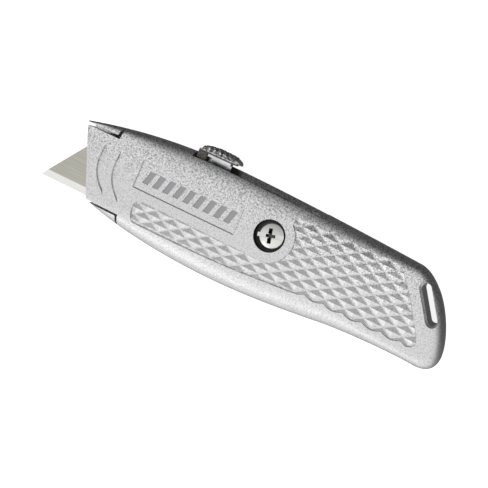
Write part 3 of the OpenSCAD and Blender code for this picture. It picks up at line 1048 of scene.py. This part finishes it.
def ground_blade(name, node, body):
    """A blade in the CAD's place, with its edge ground from both faces."""
    piece = cad_copy(node)
    piece.name = name
    near, far = (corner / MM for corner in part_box(node))
    centre = (near.z + far.z) / 2
    half = (far.z - near.z) / 2
    slope = (half - edge_half) / bevel_h
    for side in (1, -1):
        rows = [(near.y + bevel_h, half), (near.y - 1, edge_half - slope),
                (near.y - 1, half + 1), (near.y + bevel_h, half + 1)]
        rings = [[(x, y, centre + side * z) for y, z in rows] for x in (near.x - 2, far.x + 2)]
        carve(piece, column("grinding", *rings))
    coated(piece, strip_steel, bevel_steel)
    for polygon in piece.data.polygons:
        polygon.material_index = 1 if 0.9 < abs(polygon.normal.z) < 0.9993 else 0
        polygon.use_smooth = False
    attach(piece, body)
    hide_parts(node)
    return piece


ground_blade("working_blade_ground", "working_blade", "slider")
for k in range(1, 6):
    ground_blade(f"spare_blade_ground_{k}", f"spare_blade_{k}", "handle")

# ---- Blade carriage, lock spring and rivets: the carriage is folded from plated sheet steel, with
# two studs for the blade's notches. A blued spring leaf is riveted under its flange, bends between it
# and the button, and pushes the button up into the rack.


def softened(name, node, body, material, width, segments=2, sharp=30):
    """The CAD's piece with its cut edges broken, as tumbled or stamped parts have them."""
    piece = cad_copy(node)
    piece.name = name
    shape = bmesh.new()
    shape.from_mesh(piece.data)
    bmesh.ops.dissolve_limit(shape, angle_limit=radians(0.5), verts=shape.verts, edges=shape.edges)
    shape.to_mesh(piece.data)
    shape.free()
    bevel = piece.modifiers.new("broken_edges", "BEVEL")
    bevel.width = width * MM
    bevel.segments = segments
    bevel.limit_method = "ANGLE"
    bevel.angle_limit = radians(sharp)
    bevel.use_clamp_overlap = True
    seen = bpy.context.evaluated_depsgraph_get()
    made = bpy.data.meshes.new_from_object(piece.evaluated_get(seen))
    piece.modifiers.remove(bevel)
    piece.data = made
    check_closed(piece)
    coated(piece, material)
    piece.data.shade_smooth()
    piece.data.set_sharp_from_angle(angle=radians(32))
    if body:
        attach(piece, body)
    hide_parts(node)
    return piece


sheet_plating = plated_steel("sheet_plating", (0.58, 0.58, 0.56), (0.74, 0.74, 0.72), 0.24, 0.36)
blued = plated_steel("blued_spring", (0.16, 0.18, 0.22), (0.26, 0.28, 0.33), 0.22, 0.34)
rivet_steel = plated_steel("rivet_plating", (0.60, 0.60, 0.58), (0.76, 0.76, 0.74), 0.20, 0.30)
softened("blade_carriage_folded", "blade_carriage", "slider", sheet_plating, 0.15)
leaf = softened("lock_spring_leaf", "lock_spring", None, blued, 0.08)
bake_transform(leaf)
softened("spring_rivets_headed", "spring_rivets", "slider", rivet_steel, 0.2, 3)

# ---- Button bracket and lock pin: the bracket is bent from bright plated sheet steel and comes up
# through the slot to carry the cap. The lock pin is a hardened steel pin pressed through it, which
# drops between the rack's teeth.
neck_plating = plated_steel("neck_plating", (0.62, 0.64, 0.65), (0.78, 0.80, 0.81), 0.16, 0.26)
pin_steel = plated_steel("hardened_pin", (0.34, 0.34, 0.34), (0.46, 0.46, 0.46), 0.22, 0.32)
softened("button_bracket_bent", "button_bracket", "button", neck_plating, 0.25, 3)
softened("lock_pin_hardened", "lock_pin", "button", pin_steel, 0.2, 3)

# ---- Thumb button: a small zinc casting with a lumpy, crowned top for grip, a smooth rim at its
# rear and a slanting groove across the middle. Its foot drops into the front of the slot, and it is
# staked to the bracket's top.
cap_low, cap_high = (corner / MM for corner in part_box("thumb_button"))
cap_base = neck_high.y / MM + 0.5
cap_round = 3.4
cap_swell = 0.5
cap_inset = 0.45
lump_high = 0.8
lump_pitch = 2.1
groove_top = 0.55
groove_level = 20.4
groove_lean = 0.55
groove_half = 0.4
groove_deep = 0.45
knurl_end = 0.8
cap_tops = ((0.0, 0.6), (0.12, 0.78), (0.26, 0.92), (0.42, 1.0), (0.57, 0.98), (0.74, 0.93),
            (0.9, 0.84), (1.0, 0.7))
cap_turns = 22
cap_sides = 96


def cap_top(share):
    """Height of the cap's crown along its length, as a share of the whole height."""
    for (a, low_top), (b, high_top) in zip(cap_tops, cap_tops[1:]):
        if share <= b:
            return low_top + (high_top - low_top) * ease((share - a) / (b - a))
    return cap_tops[-1][1]


def cap_point(angle, turn):
    """A point of the cap's skin, from its base at turn 0 to its crown at turn 90 degrees."""
    half_x = (cap_high.x - cap_low.x) / 2 - cap_inset
    half_z = (cap_high.z - cap_low.z) / 2 - cap_inset
    out = cos(turn) ** cap_swell
    up = sin(turn) ** cap_swell
    c = cos(angle)
    d = sin(angle)
    reach = (abs(c) ** cap_round + abs(d) ** cap_round) ** (-1 / cap_round)
    x = (cap_low.x + cap_high.x) / 2 + half_x * c * reach * out
    z = (cap_low.z + cap_high.z) / 2 + half_z * d * reach * out
    share = (x - cap_low.x) / (cap_high.x - cap_low.x)
    height = (cap_high.y - cap_base - cap_inset) * cap_top(share) * up
    return Vector((x, cap_base + height, z))


def lumps(point):
    """How far the cast knurl stands out or in at a point of the cap."""
    share = (point.x - cap_low.x) / (cap_high.x - cap_low.x)
    wave = 2 * pi / lump_pitch
    rough = sin(wave * point.x + 0.9 * point.y) * sin(wave * 0.9 * (point.z + 1.3 * point.y))
    rough += 0.6 * sin(wave * 1.9 * point.x + 2.3 * point.z) * sin(wave * 1.7 * point.y + 1.1 * point.z)
    lift = lump_high * 0.62 * rough * (1 - ease((share - knurl_end) / 0.08))
    line = cap_low.x + groove_top * (cap_high.x - cap_low.x) + (groove_level - point.y) * groove_lean
    lift -= groove_deep * max(0, 1 - abs(point.x - line) / groove_half)
    return min(lift, cap_inset)


cap_points = []
for k in range(cap_turns):
    turn = pi / 2 * k / cap_turns
    for i in range(cap_sides):
        cap_points.append(cap_point(2 * pi * i / cap_sides, turn))
cap_points.append(cap_point(0, pi / 2 - 1e-4))
cap_faces = [tuple(range(cap_sides))] + between_rings(cap_turns, cap_sides)
ring_start = (cap_turns - 1) * cap_sides
for i in range(cap_sides):
    cap_faces.append((ring_start + i, ring_start + (i + 1) % cap_sides, len(cap_points) - 1))
thumb_cap = solid("thumb_button_cast", cap_points, cap_faces)
cast = bmesh.new()
cast.from_mesh(thumb_cap.data)
between_quads = [edge for edge in cast.edges if all(len(face.verts) == 4 for face in edge.link_faces)]
bmesh.ops.subdivide_edges(cast, edges=between_quads, cuts=1, use_grid_fill=True)
cast.normal_update()
moves = []
for vert in cast.verts:
    rise = ease((vert.co.y / MM - cap_base) / 0.5)
    moves.append((vert, vert.normal * lumps(vert.co / MM) * rise * MM))
for vert, move in moves:
    vert.co += move
    vert.co.y = max(vert.co.y, cap_base * MM)
cast.to_mesh(thumb_cap.data)
cast.free()
foot = cad_copy("thumb_button")
carve(foot, box_between("foot_area", (cap_low.x - 1, cap_low.y - 1, cap_low.z - 1),
                        (cap_high.x + 1, cap_base + 0.3, cap_high.z + 1)), "INTERSECT")
carve(foot, box_between("foot_width", (cap_low.x + 0.25, cap_low.y - 1, mid - 0.2),
                        (cap_high.x - 1.2, cap_base + 0.6, mid + 4.7)), "INTERSECT")
carve(thumb_cap, foot, "UNION")
cap_zinc = cast_zinc("cast_zinc_cap", (0.20, 0.20, 0.20), (0.50, 0.50, 0.50), (0.82, 0.82, 0.82), 0.26, 0.36)
# The foot stands in the shadowed front of the slot, and its zinc is painted near black: painted shade.
foot_painted_shade = cast_zinc("cast_zinc_foot_painted_shade", (0.06, 0.055, 0.05), (0.10, 0.09, 0.08), (0.16, 0.15, 0.14),
                      0.35, 0.45)
# The rear rim has a smoother finish, and its zinc is painted lighter than the cap's as a painted highlight.
rim_painted_highlight = cast_zinc("cast_zinc_rim_painted_highlight", (0.62, 0.62, 0.60), (0.70, 0.70, 0.68), (0.78, 0.78, 0.76), 0.2, 0.3)
coated(thumb_cap, cap_zinc, foot_painted_shade, rim_painted_highlight)
# From here back the rim takes the lighter zinc: a painted highlight on a smoother finish.
rim_from = cap_high.x - 1.9
# Faces under the cap's base take the near-black zinc: painted shade.
for polygon in thumb_cap.data.polygons:
    x, y, z = (value / MM for value in polygon.center)
    polygon.material_index = 1 if y < cap_base + 0.02 else 2 if x > rim_from else 0
thumb_cap.data.shade_smooth()
thumb_cap.data.set_sharp_from_angle(angle=radians(50))
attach(thumb_cap, "button")
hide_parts("thumb_button")

# ---- Spare blade clip: a stamped spring steel strip on a cast peg, which presses the spare blades
# down into their bed.
clip_steel = plated_steel("clip_steel", (0.30, 0.30, 0.31), (0.44, 0.44, 0.45), 0.24, 0.36)
softened("spare_blade_clip_stamped", "spare_blade_clip", "handle", clip_steel, 0.1)
